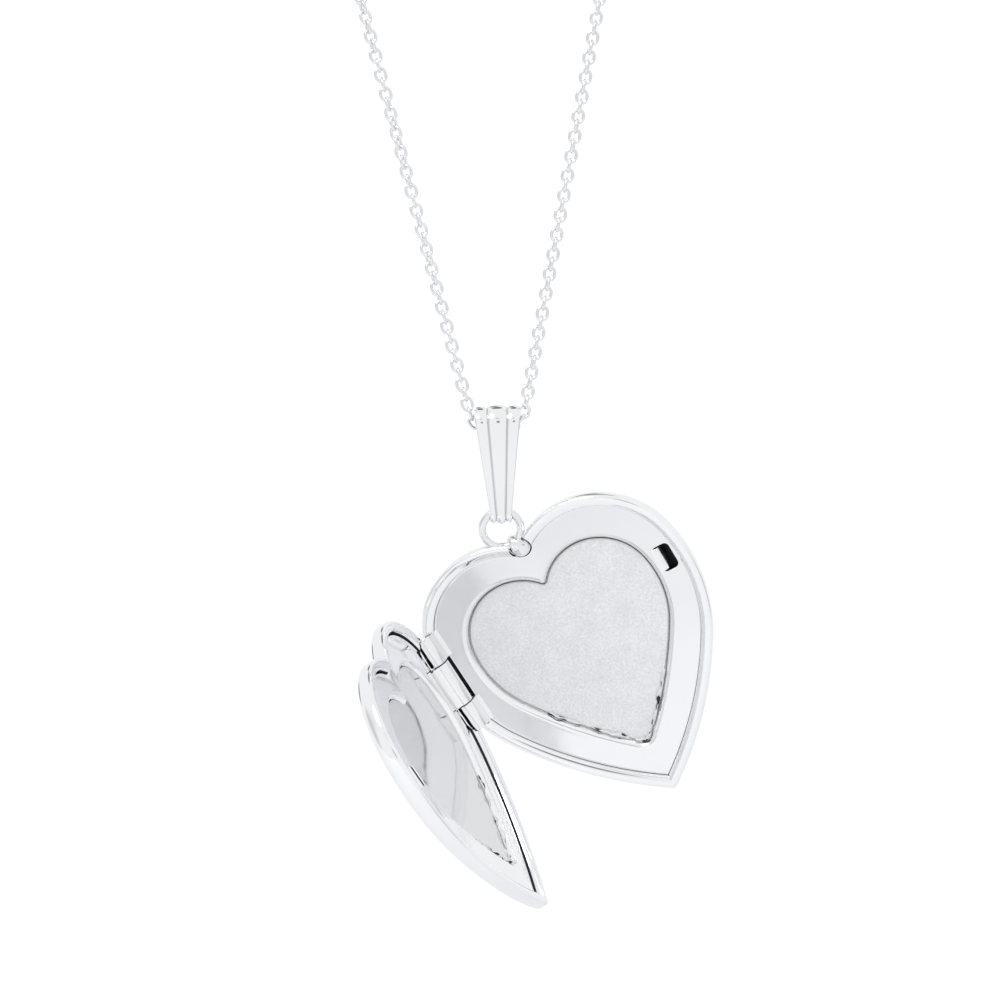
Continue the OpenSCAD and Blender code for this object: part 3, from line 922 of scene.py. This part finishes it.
def hinge_pin():
    """The pin, its ends just domed out of the knuckles."""
    low, high = HINGE_LOW, HINGE_LOW + HINGE_LEN
    profile = [(0.001, low - 0.04), (0.16, low - 0.03), (0.26, low), (PIN_R, low + 0.05),
               (PIN_R, high - 0.05), (0.26, high), (0.16, high + 0.03), (0.001, high + 0.04)]
    points, faces = lathe(profile, 32, Matrix.Translation((-HINGE_X, 0, 0)))
    make_piece("hinge_pin", points, faces, silver_hinge, "back_half", ["hinge_pin"],
               HANG_BACK)


def bent_strip(name, line, width, thick, material, place, body, ends=0.35):
    """A strip bent along (x, y) points, its width along z, with rounded end corners."""
    n = len(line)
    points = []
    for i, (x, y) in enumerate(line):
        x0, y0 = line[max(i - 1, 0)]
        x1, y1 = line[min(i + 1, n - 1)]
        span = math.hypot(x1 - x0, y1 - y0)
        nx, ny = -(y1 - y0) / span, (x1 - x0) / span
        shy = 1 - ends * (i / (n - 1)) ** 8
        half = width / 2 * shy
        for side, z in ((1, -half), (1, half), (-1, half), (-1, -half)):
            points.append((x + nx * side * thick / 2, y + ny * side * thick / 2, z))
    faces = ring_faces(n, 4) + [(0, 1, 2, 3), tuple(4 * (n - 1) + i for i in range(4))]
    obj = make_piece(name, points, faces, material, body, [name], place)
    bevel = obj.modifiers.new("edge", "BEVEL")
    bevel.width = 0.03 * MM
    bevel.segments = 2
    bevel.limit_method = "ANGLE"
    return obj


def slot_place(place):
    """The slot's own axes on one half."""
    at_slot = Matrix.Translation((SLOT_POS[0], 0, SLOT_POS[1]))
    return place @ at_slot @ turn(SLOT_ANGLE, "Y")


def catch():
    """The bent lip inside the slot, and the spring tongue on the door that snaps past it."""
    lip = [(-0.8, 0.53), (-0.62, 0.52), (-0.45, 0.54), (-0.3, 0.60), (-0.2, 0.70),
           (-0.14, 0.84), (-0.1, 1.0)]
    bent_strip("catch_lip", lip, 1.75, 0.1, silver_hinge, slot_place(HANG_BACK), "back_half", 0.1)
    tongue = [(0.12, 0.7), (0.0, 0.52), (-0.08, 0.42), (-0.12, 0.3), (-0.1, 0.2), (-0.02, 0.14)]
    bent_strip("catch_tongue", tongue, 1.8, 0.12, silver_hinge, slot_place(HANG_FRONT),
               "front_half", 0.1)


knuckle("upper_knuckle", HANG_BACK, "back_half", upper_z, UPPER_LEN)
knuckle("lower_knuckle", HANG_BACK, "back_half", HINGE_LOW, LOWER_LEN)
knuckle("door_knuckle", HANG_FRONT, "front_half", door_z, upper_z - KNUCKLE_GAP - door_z)
hinge_pin()
catch()


# ---------------------------------------------------------------- ring, stem and bail
def ring_stem():
    """Solder that fills the cleft's notch and runs up to the ring."""
    profile = [(0.001, 1.05), (0.62, 1.05), (0.71, 1.0), (0.74, 0.9), (0.74, 0.5),
               (0.725, 0.36), (0.68, 0.24), (0.6, 0.14), (0.48, 0.07), (0.3, 0.02), (0.001, 0.0)]
    points, faces = lathe(profile, 56, Matrix.Identity(4))
    up = (RING_ON_HEART.x - STEM_POS[0]) * 0.9
    shaped = []
    for p in points:
        reach = max(0.0, p.y / STEM_R)
        shaped.append((STEM_POS[0] + p.x * (1 - 0.2 * reach) + up * reach ** 2,
                       p.z + 0.1 * reach, STEM_POS[1] + p.y + 0.2 * reach ** 2))
    make_piece("ring_stem", shaped, faces, silver_wire, "back_half", ["ring_stem"],
               HANG_BACK)


BAIL_TOP_R, BAIL_LOW_R = 1.0, 0.42  # inside the fold, and inside the ring's bend
BAIL_TOP_HALF, BAIL_LOW_HALF = 1.65, 0.78  # half widths at the fold and at the ring
BAIL_TAPER_Z = 0.6  # the strap narrows below this height
BAIL_WEB = 0.07  # thickness under the ribs
GROOVE = (0.395, 0.455)  # the bottom of each flute, across the strap: rougher, and darker with painted shade
BAIL_RIBS = ((0, 0.42, 0.2), (-0.72, 0.27, 0.14), (0.72, 0.27, 0.14))  # middle, half, height


def bail_path():
    """(centre y, centre z, normal y, normal z, radius) round the strap's closed loop."""
    top_r, low_r = BAIL_TOP_R, BAIL_LOW_R
    slope = math.degrees(math.asin((top_r - low_r) / BAIL_LEN))
    path = []
    for k in range(40):
        a = math.radians(-slope + (180 + 2 * slope) * k / 40)
        path.append((0, 0, math.cos(a), math.sin(a), top_r))
    for k in range(24):
        a = math.radians(180 + slope)
        t = k / 24
        path.append((0, -BAIL_LEN * t, math.cos(a), math.sin(a), top_r + (low_r - top_r) * t))
    for k in range(28):
        a = math.radians(180 + slope + (180 - 2 * slope) * k / 28)
        path.append((0, -BAIL_LEN, math.cos(a), math.sin(a), low_r))
    for k in range(24):
        a = math.radians(-slope)
        t = 1 - k / 24
        path.append((0, -BAIL_LEN * t, math.cos(a), math.sin(a), top_r + (low_r - top_r) * t))
    return path


def bail_half_width(z):
    """Half the strap's width at a height over the fold's middle."""
    t = max(0.0, min(1.0, (BAIL_TAPER_Z - z) / (BAIL_LEN + BAIL_TAPER_Z)))
    return BAIL_TOP_HALF + (BAIL_LOW_HALF - BAIL_TOP_HALF) * t


def bail_thickness(u):
    """Outward thickness across the strap: three rounded ribs with flutes between them."""
    rib = 0.0
    for middle, half, height in BAIL_RIBS:
        rib += height * math.sqrt(max(0.0, 1 - ((u - middle) / half) ** 2))
    return BAIL_WEB + rib


def bail():
    """The fluted strap, a closed loop from the chain down to the ring."""
    steps = 84
    section = [(-1 + 2 * i / steps, 1) for i in range(steps + 1)]
    section += [(1 - 2 * i / 8, 0) for i in range(9)]
    path = bail_path()
    points = []
    for cy, cz, ny, nz, r in path:
        for u, outer in section:
            out = r + (bail_thickness(u) if outer else 0.02 * abs(u) ** 6)
            z = cz + nz * out
            shrink = 1.0 if outer else 0.985
            x = u * bail_half_width(cz + nz * r) * shrink
            points.append((x, cy + ny * out, BAIL_Z + z))
    faces = ring_faces(len(path), len(section), closed=True)
    obj = make_piece("bail_strap", points, faces, silver_bail, "bail", ["bail_strap"])
    obj.data.materials.append(groove_shade_silver)
    # Painted shade: the bottoms of the flutes take the darker groove material
    for face in obj.data.polygons:
        u, outer = section[min(face.vertices) % len(section)]
        if outer and GROOVE[0] < abs(u) < GROOVE[1]:
            face.material_index = 1


RING_PLACE = Matrix.Translation(RING_CENTRE) @ turn(TILT, "X")
torus("hanging_ring", RING_PLACE, RING_R, RING_WIRE, silver_wire, "back_half",
      ["hanging_ring"])
ring_stem()
bail()


# ---------------------------------------------------------------- floor, light and world
FLOOR_R, FLOOR_T, FLOOR_Z = 0.3, 0.004, -0.135  # metres
KEY_SPOT, KEY_AIM = (-0.25, -0.35, 0.35), (0, 0, -0.05)
KEY_SIZE, KEY_POWER = 0.3, 1.0


def pale_floor():
    """A round pale table well under the heart."""
    rim = [(FLOOR_R * math.cos(a), FLOOR_R * math.sin(a))
           for a in (2 * math.pi * k / 96 for k in range(96))]
    points = [(x * f, y * f, FLOOR_Z + dz)
              for f, dz in ((0.985, 0), (1, -0.001), (1, -FLOOR_T)) for x, y in rim]
    faces = ring_faces(3, 96) + [tuple(range(96)), tuple(range(192, 288))]
    mesh = bpy.data.meshes.new("floor")
    mesh.from_pydata(points, [], faces)
    mesh.materials.append(floor_paper())
    obj = bpy.data.objects.new("floor", mesh)
    bpy.context.scene.collection.objects.link(obj)
    smooth(obj)


def area_light(name, spot, aim, size, power):
    """A round soft light, aimed at a point."""
    light = bpy.data.lights.new(name, "AREA")
    light.shape = "DISK"
    light.size = size
    light.energy = power
    obj = bpy.data.objects.new(name, light)
    bpy.context.scene.collection.objects.link(obj)
    obj.location = spot
    obj.rotation_euler = (Vector(aim) - Vector(spot)).to_track_quat("-Z", "Y").to_euler()


# Soft-edged panels round the set: direction, inner and outer radius in degrees, brightness
WORLD_PANELS = [  # direction, inner and outer angle in degrees, and grey
    ((0.05, -1, 0.08), 3, 9, 0.3),
    ((-1, -0.25, 0.15), 10, 30, 0.7),
    ((1, -0.1, -0.1), 8, 24, 0.65),
    ((0, 0.39, 0.92), 7, 14, 0.2),
    ((0, -0.886, 0.464), 4, 8, 0.75),
    ((-0.6, 0.75, 0.15), 4, 10, 0.15),
    ((-0.1, 0.7, 0.7), 4, 10, 0.2),
    ((0.1, 0.8, -0.6), 3, 8, 0.3),
]
BACKDROP_SPAN = (12, 26)  # degrees round +Y that the lit white backdrop fills
ROOM_GREY, BACKDROP_LEVEL = 0.93, 1.03


def level_round(nodes, links, coords, way, inner, outer, at_far, at_near):
    """A level that goes smoothly from at_far to at_near within angles of a direction."""
    dot = nodes.new("ShaderNodeVectorMath")
    dot.operation = "DOT_PRODUCT"
    dot.inputs[1].default_value = Vector(way).normalized()
    links.new(coords.outputs["Generated"], dot.inputs[0])
    ramp = nodes.new("ShaderNodeMapRange")
    ramp.interpolation_type = "SMOOTHSTEP"
    ramp.inputs["From Min"].default_value = math.cos(math.radians(outer))
    ramp.inputs["From Max"].default_value = math.cos(math.radians(inner))
    ramp.inputs["To Min"].default_value = at_far
    ramp.inputs["To Max"].default_value = at_near
    links.new(dot.outputs["Value"], ramp.inputs["Value"])
    return ramp.outputs["Result"]


def multiply(nodes, links, first, second):
    product = nodes.new("ShaderNodeMath")
    product.operation = "MULTIPLY"
    links.new(first, product.inputs[0])
    links.new(second, product.inputs[1])
    return product.outputs["Value"]


def studio_world():
    """A white backdrop, a pale room, and soft grey panels where a studio has its gaps."""
    world = bpy.data.worlds.new("studio")
    bpy.context.scene.world = world
    world.use_nodes = True
    nodes, links = world.node_tree.nodes, world.node_tree.links
    background = nodes["Background"]
    coords = nodes.new("ShaderNodeTexCoord")
    level = level_round(nodes, links, coords, (0, 1, 0), *BACKDROP_SPAN, ROOM_GREY,
                        BACKDROP_LEVEL)
    for way, inner, outer, grey in WORLD_PANELS:
        panel = level_round(nodes, links, coords, way, inner, outer, 1.0, grey)
        level = multiply(nodes, links, level, panel)
    tint = nodes.new("ShaderNodeCombineColor")
    for channel in ("Red", "Green", "Blue"):
        links.new(level, tint.inputs[channel])
    links.new(tint.outputs["Color"], background.inputs["Color"])
    background.inputs["Strength"].default_value = 1.0


pale_floor()
studio_world()
area_light("key", KEY_SPOT, KEY_AIM, KEY_SIZE, KEY_POWER)
bpy.context.scene.view_settings.view_transform = "Standard"
